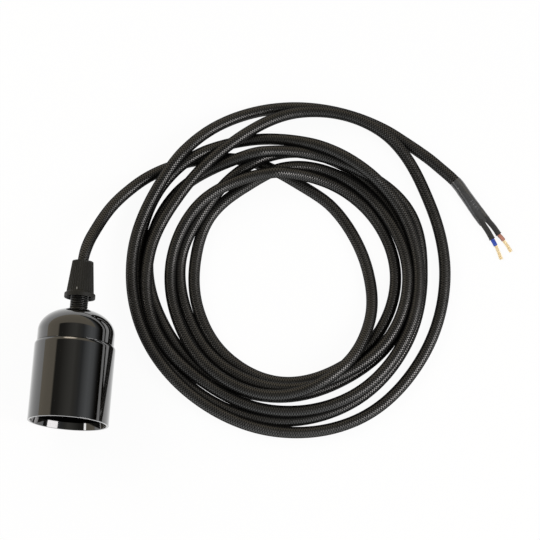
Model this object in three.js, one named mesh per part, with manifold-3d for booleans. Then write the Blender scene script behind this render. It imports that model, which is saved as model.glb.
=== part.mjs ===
// Pendant cord set: an E27 lamp holder with a cord grip, a textile cord and its free supply end.
// Millimetres, +Z up. The holder lies on its side with its axis along Y, mouth towards -Y, and the
// origin is under the middle of the holder, on the surface that everything rests on.
import * as THREE from 'three';
import { mergeVertices } from 'three/addons/utils/BufferGeometryUtils.js';
import Module from 'manifold-3d';

const wasm = await Module();
wasm.setup();

// Shared clearances and facet counts
const GAP = 0.3;
const ROUND_SIDES = 48;
const SMALL_SIDES = 20;
const CORD_SIDES = 10;
const CORE_SIDES = 8;
const CROWN_STEPS = 10;
const CUT_MARGIN = 1;

// Holder: lengths run along its axis from the mouth plane
const SKIRT_DIAMETER = 45;
const SKIRT_LENGTH = 44;
const SKIRT_WALL = 2.2;
const SKIRT_RIM_CHAMFER_DEPTH = 1.2;
const SKIRT_RIM_CHAMFER_WIDTH = 0.6;
const LIP_WIDTH = 1.1;
const LIP_EDGE = 0.25;
const MOUTH_CONE_DEPTH = 6;
const MOUTH_CONE_RADIUS = 20.15;
const SHROUD_RADIUS = 17.9;
const SHROUD_LEDGE_DEPTH = 6.4;
const SHROUD_DEPTH = 12;
const SHROUD_FLOOR = 3;

// E27 screw thread, moulded in the skirt
const E27_MAJOR_RADIUS = 13.25;
const E27_MINOR_RADIUS = 12.25;
const E27_PITCH = 3.629;
const E27_ROWS_PER_TURN = 5;
const E27_RUN_OUT = 1.4;
const THREAD_TUBE_WALL = 2.5;
const THREAD_TUBE_LENGTH = 21;

// Contact insert, clamped between the thread tube and the dome's neck
const INSERT_FLANGE_RADIUS = 19.5;
const INSERT_FLANGE_THICKNESS = 3;
const INSERT_BLOCK_RADIUS = 16;
const INSERT_BLOCK_HEIGHT = 5.7;

// Dome cap
const NECK_WALL = 2.5;
const DOME_DIAMETER = 42.8;
const DOME_HEIGHT = 20;
const DOME_CROWN_HEIGHT = 13.5;
const DOME_CROWN_INNER_HEIGHT = 11.2;
const DOME_CROWN_INNER_DROP = 1.5;
const DOME_CROWN_CENTRE = 2;
const DOME_BOSS_RADIUS = 6.5;

// Threaded nipple with the collet that grips the cord
const NIPPLE_RADIUS = 5;
const NIPPLE_BORE_RADIUS = 3.9;
const NIPPLE_PITCH = 1;
const NIPPLE_THREAD_DEPTH = 0.55;
const NIPPLE_EXPOSED = 7.3;
const NIPPLE_BELOW_DOME_TOP = 7;
const NIPPLE_THREAD_IN_NUT = 2;
const NIPPLE_BORE_TAPER = 2;
const CORD_END_IN_NIPPLE = 2.5;
const CORD_JOINT_IN_NUT = 9;
const COLLET_SLOT_WIDTH = 0.8;
const COLLET_SLOT_LENGTH = 9;
const COLLET_TIP_WALL = 0.6;

// Cord grip nut
const NUT_HEIGHT = 20;
const NUT_FLANGE_RADIUS = 8.65;
const NUT_FLANGE_THICKNESS = 2;
const NUT_BOTTOM_RADIUS = 7.7;
const NUT_TOP_RADIUS = 5.9;
const NUT_RIBS = 36;
const NUT_RIB_DEPTH = 0.28;
const NUT_EDGE = 0.3;
const NUT_RECESS_RADIUS = 7.1;
const NUT_RECESS_DEPTH = 3;
const NUT_CONE_LENGTH = 5.5;
const NUT_THROAT_LENGTH = 3;
const NUT_PIP_RADIUS = 0.8;
const NUT_PIP_HEIGHT = 5;
const NUT_PIP_TURN = THREE.MathUtils.degToRad(-15);

// Cord, its cores and the sleeve at its supply end
const CORD_DIAMETER = 6;
const CORE_DIAMETER = 2.4;
const STRAND_DIAMETER = 1.7;
const FIBRE_SLEEVE_DIAMETER = 3.2;
const SHRINK_SLEEVE_DIAMETER = 6.8;

// Contacts and terminals
const CONTACT_THICKNESS = 0.8;
const CONTACT_WIDTH = 5;
const CENTRE_CONTACT_DROP = 2.6;
const CENTRE_CONTACT_REACH = 3;
const SIDE_CONTACT_LENGTH = 6;
const SIDE_CONTACT_CLEARANCE = 0.9;
const TERMINAL_OFFSET = 8;
const TERMINAL_WIDTH = 7;
const TERMINAL_HEIGHT = 8;
const RIVET_RADIUS = 1.5;
const RIVET_HEAD_RADIUS = 2.2;
const RIVET_HEAD_HEIGHT = 0.8;
const RIVET_TAIL = 2;
const WIRE_HOLE_DEPTH = 4.5;
const SCREW_RADIUS = 1.5;
const SCREW_HEAD_RADIUS = 2.3;
const SCREW_HEAD_HEIGHT = 1.6;
const SCREW_SLOT_WIDTH = 0.6;
const SCREW_LEVEL = 5.8;

// Coil of the cord
const COIL_CENTRE = new THREE.Vector2(113.8, 55.5);
const COIL_INNER_RADIUS = 50;
const COIL_OUTER_RADIUS = 93;
const COIL_HEIGHT = 13;
const COIL_EDGE = 3;

// Places that follow from the sizes above
const skirtRadius = SKIRT_DIAMETER / 2;
const cordRadius = CORD_DIAMETER / 2;
const coreRadius = CORE_DIAMETER / 2;
const shaftGrip = cordRadius + GAP;
const threadTop = SHROUD_DEPTH + THREAD_TUBE_LENGTH;
const threadTubeRadius = E27_MAJOR_RADIUS + THREAD_TUBE_WALL;
const skirtBore = skirtRadius - SKIRT_WALL;
const insertBottom = threadTop + GAP;
const insertShoulder = insertBottom + INSERT_FLANGE_THICKNESS;
const insertTop = insertShoulder + INSERT_BLOCK_HEIGHT;
const neckBottom = insertShoulder + GAP;
const neckRadius = skirtBore - GAP;
const neckBore = neckRadius - NECK_WALL;
const domeRadius = DOME_DIAMETER / 2;
const domeBottom = SKIRT_LENGTH + GAP;
const domeTop = SKIRT_LENGTH + DOME_HEIGHT;
const nutBottom = domeTop + NIPPLE_EXPOSED;
const nutTop = nutBottom + NUT_HEIGHT;
const nippleBottom = domeTop - NIPPLE_BELOW_DOME_TOP;
const holderLength = nutTop;
const terminalBottom = insertTop + GAP;
const terminalTop = terminalBottom + TERMINAL_HEIGHT;
const nutBore = NIPPLE_RADIUS + GAP;
const nutThroat = nutTop - NUT_THROAT_LENGTH;
const contactTop = insertBottom - GAP;
const screwLevel = terminalBottom + SCREW_LEVEL;
const wireHoleRadius = STRAND_DIAMETER / 2 + GAP;
const cordEnd = nippleBottom + CORD_END_IN_NIPPLE;
const cordJoint = nutBottom + CORD_JOINT_IN_NUT;

// Hand-placed route of the cord from the grip to the coil, and from the coil to the sleeve
const ROUTE_TO_COIL = [
  [0, 46.5, 22.5], [0.7, 52, 21.7], [2.3, 58.8, 19.3], [4.9, 66, 15.9], [8.2, 73.8, 12.4],
  [12.3, 81.2, 9], [16.9, 87.5, 6.2], [21.6, 92.8, 4.2], [27.3, 98.4, 3],
];
const ROUTE_TO_SLEEVE = [
  [156.5, 142, 3], [165.3, 138.2, 3], [172.3, 134.3, 3], [183.2, 127.9, 3],
  [189, 124.2, 3], [194.9, 119.8, 3], [203.2, 113.3, 3],
];
const ROUTE_OF_SLEEVE = [
  [203.8, 112.8, 3.4], [206.6, 109.8, 3.4], [209.3, 106.3, 3.4], [214.2, 100.3, 3.4], [223.1, 89.2, 3.4],
];
// Each core goes on from the sleeve's end: its fibre sleeve, its insulation, then its bare strands
const BLUE_CORE_ROUTES = {
  fibre_sleeve: [[221.9, 87.9, 3], [224.9, 84, 2.6], [227.6, 79.9, 2.1]],
  insulation: [[227.8, 79.6, 2], [228.8, 78, 1.8], [229.8, 76.4, 1.5]],
  strands: [[230, 76.1, 1.4], [231.8, 72.6, 1.1], [233.5, 68.8, 0.9]],
};
const BROWN_CORE_ROUTES = {
  fibre_sleeve: [[224.7, 90.1, 3], [228.2, 86.5, 2.6], [231.1, 82.9, 2.1]],
  insulation: [[231.3, 82.6, 2], [232.8, 81.2, 1.8], [234.1, 79.8, 1.5]],
  strands: [[234.3, 79.5, 1.4], [236.6, 76.7, 1.1], [238.7, 73.6, 0.9]],
};

const materials = {
  bakelite: finish(0x17130f, 0.18, 0),
  plastic: finish(0x1b1a18, 0.62, 0),
  steatite: finish(0xd9d2c3, 0.55, 0),
  brass: finish(0xb08d4f, 0.35, 1),
  steel: finish(0x9a9a98, 0.35, 1),
  braid: finish(0x141416, 0.8, 0),
  shrink: finish(0x2a2b2c, 0.5, 0),
  fibre: finish(0x1a1a1a, 0.9, 0),
  blue: finish(0x2f5fae, 0.45, 0),
  brown: finish(0x5a3420, 0.45, 0),
  copper: finish(0xc9a184, 0.35, 1),
};

function finish(color, roughness, metalness) {
  return new THREE.MeshStandardMaterial({ color, roughness, metalness });
}

function mesh(name, geometry, material) {
  const piece = new THREE.Mesh(geometry, material);
  piece.name = name;
  return piece;
}

// A body turned about Y. Its outline of [radius, height] pairs goes up its outer side, and starts and
// ends on the axis or closes on itself.
function turned(outline, sides = ROUND_SIDES) {
  const points = outline.map(([radius, height]) => new THREE.Vector2(radius, height));
  if (outline[0][0] > 0) points.push(points[0].clone());
  return new THREE.LatheGeometry(points, sides);
}

function cylinder(radius, from, to, sides = SMALL_SIDES) {
  const shape = new THREE.CylinderGeometry(radius, radius, to - from, sides);
  return shape.translate(0, (from + to) / 2, 0);
}

function welded(geometry) {
  const plain = geometry.clone();
  plain.deleteAttribute('normal');
  plain.deleteAttribute('uv');
  return mergeVertices(plain, 1e-5);
}

function toSolid(geometry) {
  const shape = welded(geometry);
  return new wasm.Manifold(new wasm.Mesh({
    numProp: 3,
    vertProperties: new Float32Array(shape.attributes.position.array),
    triVerts: new Uint32Array(shape.index.array),
  }));
}

function toGeometry(solid) {
  const data = solid.getMesh();
  const shape = new THREE.BufferGeometry();
  shape.setAttribute('position', new THREE.BufferAttribute(data.vertProperties, 3));
  shape.setIndex(new THREE.BufferAttribute(data.triVerts, 1));
  shape.computeVertexNormals();
  return shape;
}

function cut(body, tools) {
  return toGeometry(tools.reduce((solid, tool) => solid.subtract(toSolid(tool)), toSolid(body)));
}

function joined(body, extra) {
  return toGeometry(toSolid(body).add(toSolid(extra)));
}

// A round bar swept along hand-placed points
function swept(route, radius, steps, sides) {
  const points = route.map(([x, y, z]) => new THREE.Vector3(x, y, z));
  const corners = Array.from({ length: sides }, (_, i) => (
    new THREE.Vector2(radius, 0).rotateAround(new THREE.Vector2(), (i / sides) * 2 * Math.PI)
  ));
  const path = new THREE.CatmullRomCurve3(points, false, 'centripetal');
  return new THREE.ExtrudeGeometry(new THREE.Shape(corners), { steps, extrudePath: path });
}

// A bent strip of sheet: its edge line runs in the XY plane and its width along Z
function bentStrip(line, thickness, width) {
  const far = line.map((point, i) => {
    const before = line[Math.max(i - 1, 0)];
    const after = line[Math.min(i + 1, line.length - 1)];
    const length = Math.hypot(after[0] - before[0], after[1] - before[1]);
    return [
      point[0] + ((after[1] - before[1]) / length) * thickness,
      point[1] - ((after[0] - before[0]) / length) * thickness,
    ];
  });
  const outline = [...line, ...far.reverse()].map(([x, y]) => new THREE.Vector2(x, y));
  const sheet = new THREE.ExtrudeGeometry(new THREE.Shape(outline), { depth: width, bevelEnabled: false });
  return sheet.translate(0, 0, -width / 2);
}

// Points of a quarter ellipse from the side of the dome's crown to its innermost radius
function crown(side, bottom, height, innermost, count) {
  const reach = side - DOME_CROWN_CENTRE;
  const last = Math.acos((innermost - DOME_CROWN_CENTRE) / reach);
  return Array.from({ length: count + 1 }, (_, i) => {
    const angle = (last * i) / count;
    return [DOME_CROWN_CENTRE + reach * Math.cos(angle), bottom + height * Math.sin(angle)];
  });
}

function skirtOutline() {
  const rows = Math.round((THREAD_TUBE_LENGTH / E27_PITCH) * E27_ROWS_PER_TURN);
  const bore = Array.from({ length: rows + 1 }, (_, i) => [
    E27_MAJOR_RADIUS, threadTop - (THREAD_TUBE_LENGTH * i) / rows,
  ]);
  return [
    [skirtRadius - LIP_EDGE, 0],
    [skirtRadius, LIP_EDGE],
    [skirtRadius, SKIRT_LENGTH - SKIRT_RIM_CHAMFER_DEPTH],
    [skirtRadius - SKIRT_RIM_CHAMFER_WIDTH, SKIRT_LENGTH],
    [skirtBore, SKIRT_LENGTH],
    [skirtBore, SHROUD_DEPTH + SHROUD_FLOOR],
    [threadTubeRadius, SHROUD_DEPTH + SHROUD_FLOOR],
    [threadTubeRadius, threadTop],
    ...bore,
    [SHROUD_RADIUS, SHROUD_DEPTH],
    [SHROUD_RADIUS, SHROUD_LEDGE_DEPTH],
    [MOUTH_CONE_RADIUS, MOUTH_CONE_DEPTH],
    [skirtRadius - LIP_EDGE - LIP_WIDTH, 0],
  ];
}

// Raises the rounded ridge of the screw thread out of the plain bore
function cutThread(geometry) {
  const position = geometry.attributes.position;
  const onBore = 0.01;
  for (let i = 0; i < position.count; i += 1) {
    const [x, y, z] = [position.getX(i), position.getY(i), position.getZ(i)];
    const radius = Math.hypot(x, z);
    if (Math.abs(radius - E27_MAJOR_RADIUS) > onBore) continue;
    const fromEnd = Math.min(threadTop - y, y - SHROUD_DEPTH);
    const depth = (E27_MAJOR_RADIUS - E27_MINOR_RADIUS) * THREE.MathUtils.smoothstep(fromEnd, 0, E27_RUN_OUT);
    const phase = 2 * Math.PI * (y / E27_PITCH) - Math.atan2(x, z);
    const scale = (radius - depth * (0.5 + 0.5 * Math.cos(phase))) / radius;
    position.setXYZ(i, x * scale, y, z * scale);
  }
  return geometry;
}

function makeSkirt() {
  return mesh('skirt', cutThread(turned(skirtOutline())), materials.bakelite);
}

function makeDome() {
  const crownBottom = domeTop - DOME_CROWN_HEIGHT;
  const innerBottom = crownBottom - DOME_CROWN_INNER_DROP;
  const holeRadius = NIPPLE_RADIUS + GAP;
  const outer = crown(domeRadius, crownBottom, DOME_CROWN_HEIGHT, DOME_BOSS_RADIUS, CROWN_STEPS);
  const inner = crown(neckBore, innerBottom, DOME_CROWN_INNER_HEIGHT, holeRadius, CROWN_STEPS / 2);
  const outline = [
    [neckRadius, neckBottom],
    [neckRadius, domeBottom],
    [domeRadius, domeBottom],
    ...outer,
    [DOME_BOSS_RADIUS, domeTop],
    [holeRadius, domeTop],
    ...inner.reverse(),
    [neckBore, neckBottom],
  ];
  return mesh('dome_cap', turned(outline), materials.bakelite);
}

function makeNipple() {
  const tooth = [];
  const threadEnd = nutBottom + NIPPLE_THREAD_IN_NUT;
  for (let y = nippleBottom; y < threadEnd - NIPPLE_PITCH / 2; y += NIPPLE_PITCH) {
    tooth.push([NIPPLE_RADIUS - NIPPLE_THREAD_DEPTH, y], [NIPPLE_RADIUS, y + NIPPLE_PITCH / 2]);
  }
  const coneTop = nutThroat - NUT_CONE_LENGTH;
  const perRadius = NUT_CONE_LENGTH / (nutBore - shaftGrip);
  const tip = nutThroat - (COLLET_TIP_WALL + GAP) * perRadius;
  const outline = [
    ...tooth,
    [NIPPLE_RADIUS, threadEnd],
    [NIPPLE_RADIUS, coneTop],
    [shaftGrip + COLLET_TIP_WALL, tip],
    [shaftGrip, tip],
    [shaftGrip, threadEnd + NIPPLE_BORE_TAPER],
    [NIPPLE_BORE_RADIUS, threadEnd],
    [NIPPLE_BORE_RADIUS, nippleBottom],
  ];
  const span = 2 * NIPPLE_RADIUS + CUT_MARGIN;
  const middle = tip + CUT_MARGIN - COLLET_SLOT_LENGTH / 2;
  const slots = [[span, COLLET_SLOT_WIDTH], [COLLET_SLOT_WIDTH, span]].map(([width, depth]) => (
    new THREE.BoxGeometry(width, COLLET_SLOT_LENGTH, depth).translate(0, middle, 0)
  ));
  return mesh('grip_nipple', cut(turned(outline, SMALL_SIDES), slots), materials.plastic);
}

// Radius of the nut's cone at a height above the mouth plane
function nutRadius(y) {
  const coneBottom = nutBottom + NUT_FLANGE_THICKNESS;
  return THREE.MathUtils.mapLinear(y, coneBottom, nutTop, NUT_BOTTOM_RADIUS, NUT_TOP_RADIUS);
}

// Presses the grooves between the axial ribs into the nut's cone
function cutRibs(geometry) {
  const position = geometry.attributes.position;
  for (let i = 0; i < position.count; i += 1) {
    const [x, y, z] = [position.getX(i), position.getY(i), position.getZ(i)];
    const radius = Math.hypot(x, z);
    if (y < nutBottom + NUT_FLANGE_THICKNESS || radius < nutRadius(y) - NUT_RIB_DEPTH / 2) continue;
    const groove = NUT_RIB_DEPTH * (0.5 - 0.5 * Math.cos(NUT_RIBS * Math.atan2(x, z)));
    const scale = (Math.min(radius, nutRadius(y)) - groove) / radius;
    position.setXYZ(i, x * scale, y, z * scale);
  }
  return geometry;
}

function makeNut() {
  const flangeTop = nutBottom + NUT_FLANGE_THICKNESS;
  const recessTop = nutBottom + NUT_RECESS_DEPTH;
  const body = turned([
    [NUT_FLANGE_RADIUS - NUT_EDGE, nutBottom],
    [NUT_FLANGE_RADIUS, nutBottom + NUT_EDGE],
    [NUT_FLANGE_RADIUS, flangeTop - 2 * NUT_EDGE],
    [NUT_FLANGE_RADIUS - NUT_EDGE, flangeTop - NUT_EDGE],
    [NUT_BOTTOM_RADIUS, flangeTop],
    [nutRadius(nutTop - NUT_EDGE), nutTop - NUT_EDGE],
    [NUT_TOP_RADIUS - 2 * NUT_EDGE, nutTop],
    [shaftGrip, nutTop],
    [shaftGrip, nutThroat],
    [nutBore, nutThroat - NUT_CONE_LENGTH],
    [nutBore, recessTop],
    [NUT_RECESS_RADIUS, recessTop],
    [NUT_RECESS_RADIUS, nutBottom],
  ], 2 * NUT_RIBS);
  const pipLevel = nutBottom + NUT_PIP_HEIGHT;
  const pip = new THREE.SphereGeometry(NUT_PIP_RADIUS, 10, 8).translate(0, pipLevel, nutRadius(pipLevel));
  return mesh('grip_nut', joined(cutRibs(body), pip.rotateY(NUT_PIP_TURN)), materials.plastic);
}

function makeInsert() {
  const body = turned([
    [0, insertBottom],
    [INSERT_FLANGE_RADIUS, insertBottom],
    [INSERT_FLANGE_RADIUS, insertShoulder],
    [INSERT_BLOCK_RADIUS, insertShoulder],
    [INSERT_BLOCK_RADIUS, insertTop],
    [0, insertTop],
  ]);
  const holes = [-TERMINAL_OFFSET, TERMINAL_OFFSET].map((x) => (
    cylinder(RIVET_RADIUS + GAP, insertBottom - CUT_MARGIN, insertTop + CUT_MARGIN).translate(x, 0, 0)
  ));
  return mesh('contact_insert', cut(body, holes), materials.steatite);
}

function makeContact(name, line, side) {
  const strip = bentStrip(line, CONTACT_THICKNESS, CONTACT_WIDTH);
  const from = contactTop - CONTACT_THICKNESS - CUT_MARGIN;
  const hole = cylinder(RIVET_RADIUS + GAP, from, contactTop + CUT_MARGIN);
  return mesh(name, cut(strip, [hole.translate(side * TERMINAL_OFFSET, 0, 0)]), materials.brass);
}

function makeCentreContact() {
  const low = contactTop - CENTRE_CONTACT_DROP;
  const pad = TERMINAL_OFFSET + RIVET_HEAD_RADIUS;
  const line = [[-pad, contactTop], [-pad / 2, contactTop], [-pad / 8, low], [CENTRE_CONTACT_REACH, low]];
  return makeContact('centre_contact', line, -1);
}

function makeSideContact() {
  const outside = E27_MINOR_RADIUS - SIDE_CONTACT_CLEARANCE;
  const padStart = TERMINAL_OFFSET - RIVET_HEAD_RADIUS - GAP;
  const line = [[padStart, contactTop], [outside, contactTop], [outside, contactTop - SIDE_CONTACT_LENGTH]];
  return makeContact('side_contact', line, 1);
}

function makeRivet(name, side) {
  const headTop = contactTop - CONTACT_THICKNESS - GAP;
  const body = turned([
    [0, headTop - RIVET_HEAD_HEIGHT],
    [RIVET_HEAD_RADIUS, headTop - RIVET_HEAD_HEIGHT],
    [RIVET_HEAD_RADIUS, headTop],
    [RIVET_RADIUS, headTop],
    [RIVET_RADIUS, terminalBottom + RIVET_TAIL],
    [0, terminalBottom + RIVET_TAIL],
  ], SMALL_SIDES);
  return mesh(name, body.translate(side * TERMINAL_OFFSET, 0, 0), materials.brass);
}

function makeTerminal(name, side) {
  const block = new THREE.BoxGeometry(TERMINAL_WIDTH, TERMINAL_HEIGHT, TERMINAL_WIDTH);
  const rivetTop = terminalBottom + RIVET_TAIL + GAP;
  const wireBottom = terminalTop - WIRE_HOLE_DEPTH;
  const rivetHole = cylinder(RIVET_RADIUS + GAP, terminalBottom - CUT_MARGIN, rivetTop);
  const wireHole = cylinder(wireHoleRadius, wireBottom, terminalTop + CUT_MARGIN);
  const screwHole = cylinder(SCREW_RADIUS + GAP, 0, TERMINAL_WIDTH / 2 + CUT_MARGIN);
  screwHole.rotateZ(-side * Math.PI / 2).translate(0, screwLevel, 0);
  block.translate(0, (terminalBottom + terminalTop) / 2, 0);
  const body = cut(block, [rivetHole, wireHole, screwHole]);
  return mesh(name, body.translate(side * TERMINAL_OFFSET, 0, 0), materials.brass);
}

function makeScrew(name, side) {
  const tip = STRAND_DIAMETER / 2 + GAP;
  const face = TERMINAL_WIDTH / 2 + GAP;
  const body = turned([
    [0, tip],
    [SCREW_RADIUS, tip],
    [SCREW_RADIUS, face],
    [SCREW_HEAD_RADIUS, face],
    [SCREW_HEAD_RADIUS, face + SCREW_HEAD_HEIGHT],
    [0, face + SCREW_HEAD_HEIGHT],
  ], SMALL_SIDES);
  const slot = new THREE.BoxGeometry(3 * SCREW_HEAD_RADIUS, SCREW_HEAD_HEIGHT, SCREW_SLOT_WIDTH);
  slot.translate(0, face + SCREW_HEAD_HEIGHT, 0);
  const turnedOut = cut(body, [slot]).rotateZ(-side * Math.PI / 2);
  return mesh(name, turnedOut.translate(side * TERMINAL_OFFSET, screwLevel, 0), materials.steel);
}

function makeInnerCore(name, side, material) {
  const apart = coreRadius + GAP / 2;
  const route = [
    [side * apart, cordEnd - GAP, 0],
    [side * apart, nippleBottom + CUT_MARGIN, 0],
    [side * TERMINAL_OFFSET * 0.4, nippleBottom - 1.8, 0],
    [side * TERMINAL_OFFSET * 0.85, terminalTop + 3.2, 0],
    [side * TERMINAL_OFFSET, terminalTop + 1.6, 0],
    [side * TERMINAL_OFFSET, terminalTop + GAP, 0],
  ];
  return mesh(name, swept(route, coreRadius, 14, CORE_SIDES), material);
}

function makeInnerWire(name, side) {
  const bottom = terminalTop - WIRE_HOLE_DEPTH + GAP;
  const wire = cylinder(STRAND_DIAMETER / 2, bottom, terminalTop, CORE_SIDES);
  return mesh(name, wire.translate(side * TERMINAL_OFFSET, 0, 0), materials.copper);
}

function makeHolder() {
  const holder = new THREE.Group();
  holder.position.set(0, -holderLength / 2, skirtRadius);
  holder.add(
    makeSkirt(),
    makeDome(),
    makeNipple(),
    makeNut(),
    makeInsert(),
    makeCentreContact(),
    makeSideContact(),
    makeRivet('centre_contact_rivet', -1),
    makeRivet('side_contact_rivet', 1),
    makeTerminal('terminal_brown', -1),
    makeTerminal('terminal_blue', 1),
    makeScrew('terminal_screw_brown', -1),
    makeScrew('terminal_screw_blue', 1),
    makeInnerCore('inner_core_brown', -1, materials.brown),
    makeInnerCore('inner_core_blue', 1, materials.blue),
    makeInnerWire('inner_wire_brown', -1),
    makeInnerWire('inner_wire_blue', 1),
    mesh('cord_in_grip', cylinder(cordRadius, cordEnd, cordJoint), materials.braid),
  );
  return holder;
}

function makeCoil() {
  const ring = turned([
    [COIL_OUTER_RADIUS - COIL_EDGE, 0],
    [COIL_OUTER_RADIUS, COIL_EDGE],
    [COIL_OUTER_RADIUS, COIL_HEIGHT - COIL_EDGE],
    [COIL_OUTER_RADIUS - COIL_EDGE, COIL_HEIGHT],
    [COIL_INNER_RADIUS + COIL_EDGE, COIL_HEIGHT],
    [COIL_INNER_RADIUS, COIL_HEIGHT - COIL_EDGE],
    [COIL_INNER_RADIUS, COIL_EDGE],
    [COIL_INNER_RADIUS + COIL_EDGE, 0],
  ]);
  const coil = mesh('cord_coil', ring.rotateX(Math.PI / 2), materials.braid);
  coil.position.set(COIL_CENTRE.x, COIL_CENTRE.y, 0);
  return coil;
}

function makeCordToCoil() {
  const insideGrip = [0, cordJoint + GAP - holderLength / 2, skirtRadius];
  const route = [insideGrip, ...ROUTE_TO_COIL];
  return mesh('cord_to_coil', swept(route, cordRadius, 16, CORD_SIDES), materials.braid);
}

function makeCordToSleeve() {
  return mesh('cord_to_sleeve', swept(ROUTE_TO_SLEEVE, cordRadius, 10, CORD_SIDES), materials.braid);
}

function makeShrinkSleeve() {
  const radius = SHRINK_SLEEVE_DIAMETER / 2;
  return mesh('shrink_sleeve', swept(ROUTE_OF_SLEEVE, radius, 8, 12), materials.shrink);
}

function makeSupplyCore(label, routes, insulation) {
  const piece = (part, diameter, material) => (
    mesh(`${label}_${part}`, swept(routes[part], diameter / 2, 5, CORE_SIDES), material)
  );
  return [
    piece('fibre_sleeve', FIBRE_SLEEVE_DIAMETER, materials.fibre),
    piece('insulation', CORE_DIAMETER, insulation),
    piece('strands', STRAND_DIAMETER, materials.copper),
  ];
}

const pendant = new THREE.Group();
pendant.add(
  makeHolder(),
  makeCordToCoil(),
  makeCoil(),
  makeCordToSleeve(),
  makeShrinkSleeve(),
  ...makeSupplyCore('blue', BLUE_CORE_ROUTES, materials.blue),
  ...makeSupplyCore('brown', BROWN_CORE_ROUTES, materials.brown),
);

export default pendant;
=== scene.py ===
# Pendant cord set: the finish of every surface, the cord at its real length, the light and the camera.
# Sizes are in millimetres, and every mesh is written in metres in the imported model's frame.
import math

import bpy
import numpy as np
from mathutils import Matrix, Vector


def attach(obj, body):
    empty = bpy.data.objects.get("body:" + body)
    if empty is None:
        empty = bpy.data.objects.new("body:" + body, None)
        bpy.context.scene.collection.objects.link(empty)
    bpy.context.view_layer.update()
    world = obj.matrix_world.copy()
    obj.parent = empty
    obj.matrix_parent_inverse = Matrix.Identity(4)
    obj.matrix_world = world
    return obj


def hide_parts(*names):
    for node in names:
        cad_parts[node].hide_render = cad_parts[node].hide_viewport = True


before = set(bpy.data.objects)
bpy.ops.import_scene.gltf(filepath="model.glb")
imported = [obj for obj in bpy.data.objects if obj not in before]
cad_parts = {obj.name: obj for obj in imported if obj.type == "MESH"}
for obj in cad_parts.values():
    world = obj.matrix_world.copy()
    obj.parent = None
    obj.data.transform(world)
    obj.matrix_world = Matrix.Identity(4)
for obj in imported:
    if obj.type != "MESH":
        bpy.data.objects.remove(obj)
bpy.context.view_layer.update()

MM = 0.001
BODY = "root"

# Camera: a long lens, almost straight above, turned a little about the vertical
CAMERA_TARGET = (103.532, 54.163, 0.0)
CAMERA_DISTANCE = 1800.0
CAMERA_ELEVATION = math.radians(77.151)
CAMERA_TURN = math.radians(4.464)
CAMERA_ANGLE = math.radians(9.643)
CAMERA_CLIP_END = 100000.0

# Holder: lengths run along its axis from the mouth plane
SKIRT_RADIUS = 22.5
SKIRT_LENGTH = 44.0
SKIRT_BORE = 20.3
RIM_CHAMFER_DEPTH = 1.2
RIM_CHAMFER_WIDTH = 0.6
LIP_EDGE = 0.25
LIP_INNER_RADIUS = 21.15
MOUTH_CONE_DEPTH = 6.0
MOUTH_CONE_RADIUS = 20.15
SHROUD_RADIUS = 17.9
SHROUD_LEDGE_DEPTH = 6.4
SHROUD_DEPTH = 12.0
SHROUD_FLOOR = 3.0
E27_MAJOR_RADIUS = 13.25
E27_MINOR_RADIUS = 12.25
E27_PITCH = 3.629
E27_RUN_OUT = 1.4
THREAD_TUBE_WALL = 2.5
THREAD_TUBE_LENGTH = 21.0
INSERT_FLANGE_THICKNESS = 3.0
GAP = 0.3
NECK_WALL = 2.5
DOME_RADIUS = 21.4
DOME_HEIGHT = 20.0
DOME_CROWN_HEIGHT = 13.5
DOME_CROWN_INNER_HEIGHT = 11.2
DOME_CROWN_INNER_DROP = 1.5
DOME_CROWN_CENTRE = 2.0
DOME_BOSS_RADIUS = 6.5
NIPPLE_RADIUS = 5.0
NIPPLE_BORE_RADIUS = 3.9
NIPPLE_PITCH = 1.0
NIPPLE_THREAD_DEPTH = 0.55
NIPPLE_THREAD_FLANK = (0.35, 0.9)
NIPPLE_THREAD_RUN_OUT = 1.0
NIPPLE_CREST = 0.12
NIPPLE_EXPOSED = 7.3
NIPPLE_BELOW_DOME_TOP = 7.0
NIPPLE_THREAD_IN_NUT = 2.0
NIPPLE_TIP_WALL = 0.6
NIPPLE_BORE_TAPER = 2.0
NUT_HEIGHT = 20.0
NUT_FLANGE_RADIUS = 8.65
NUT_FLANGE_THICKNESS = 2.0
NUT_FLANGE_SLOPE = 0.3
NUT_BOTTOM_RADIUS = 7.7
NUT_TOP_RADIUS = 5.9
NUT_RIBS = 36
NUT_RIB_DEPTH = 0.28
NUT_RIB_SHARPNESS = 0.7
NUT_RIBS_FADE_IN = 0.8
NUT_RIBS_FADE_OUT = (0.5, 0.9)
NUT_RECESS_RADIUS = 7.1
NUT_RECESS_DEPTH = 3.0
NUT_CONE_LENGTH = 5.5
NUT_THROAT_LENGTH = 3.0
NUT_RIM_DROP = 0.8
NUT_RIM_WIDTH = 0.45
NUT_PIP_RADIUS = 0.6
NUT_PIP_HEIGHT = 3.3
NUT_PIP_RISE = 0.9
NUT_PIP_TURN = math.radians(-10.7)

# Places along the holder that follow from the sizes above
thread_top = SHROUD_DEPTH + THREAD_TUBE_LENGTH
insert_shoulder = thread_top + GAP + INSERT_FLANGE_THICKNESS
neck_bottom = insert_shoulder + GAP
neck_radius = SKIRT_BORE - GAP
neck_bore = neck_radius - NECK_WALL
dome_bottom = SKIRT_LENGTH + GAP
dome_top = SKIRT_LENGTH + DOME_HEIGHT
nut_bottom = dome_top + NIPPLE_EXPOSED
nut_top = nut_bottom + NUT_HEIGHT
nipple_bottom = dome_top - NIPPLE_BELOW_DOME_TOP
holder_length = nut_top

# Cord and its cores: the cord's length alone is in metres
CORD_DIAMETER = 6.0
CORE_DIAMETER = 2.4
FIBRE_SLEEVE_DIAMETER = 3.2
SHRINK_SLEEVE_DIAMETER = 6.8
CORD_FLATNESS = 1.08
cord_radius = CORD_DIAMETER / 2
shaft_grip = cord_radius + GAP

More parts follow.
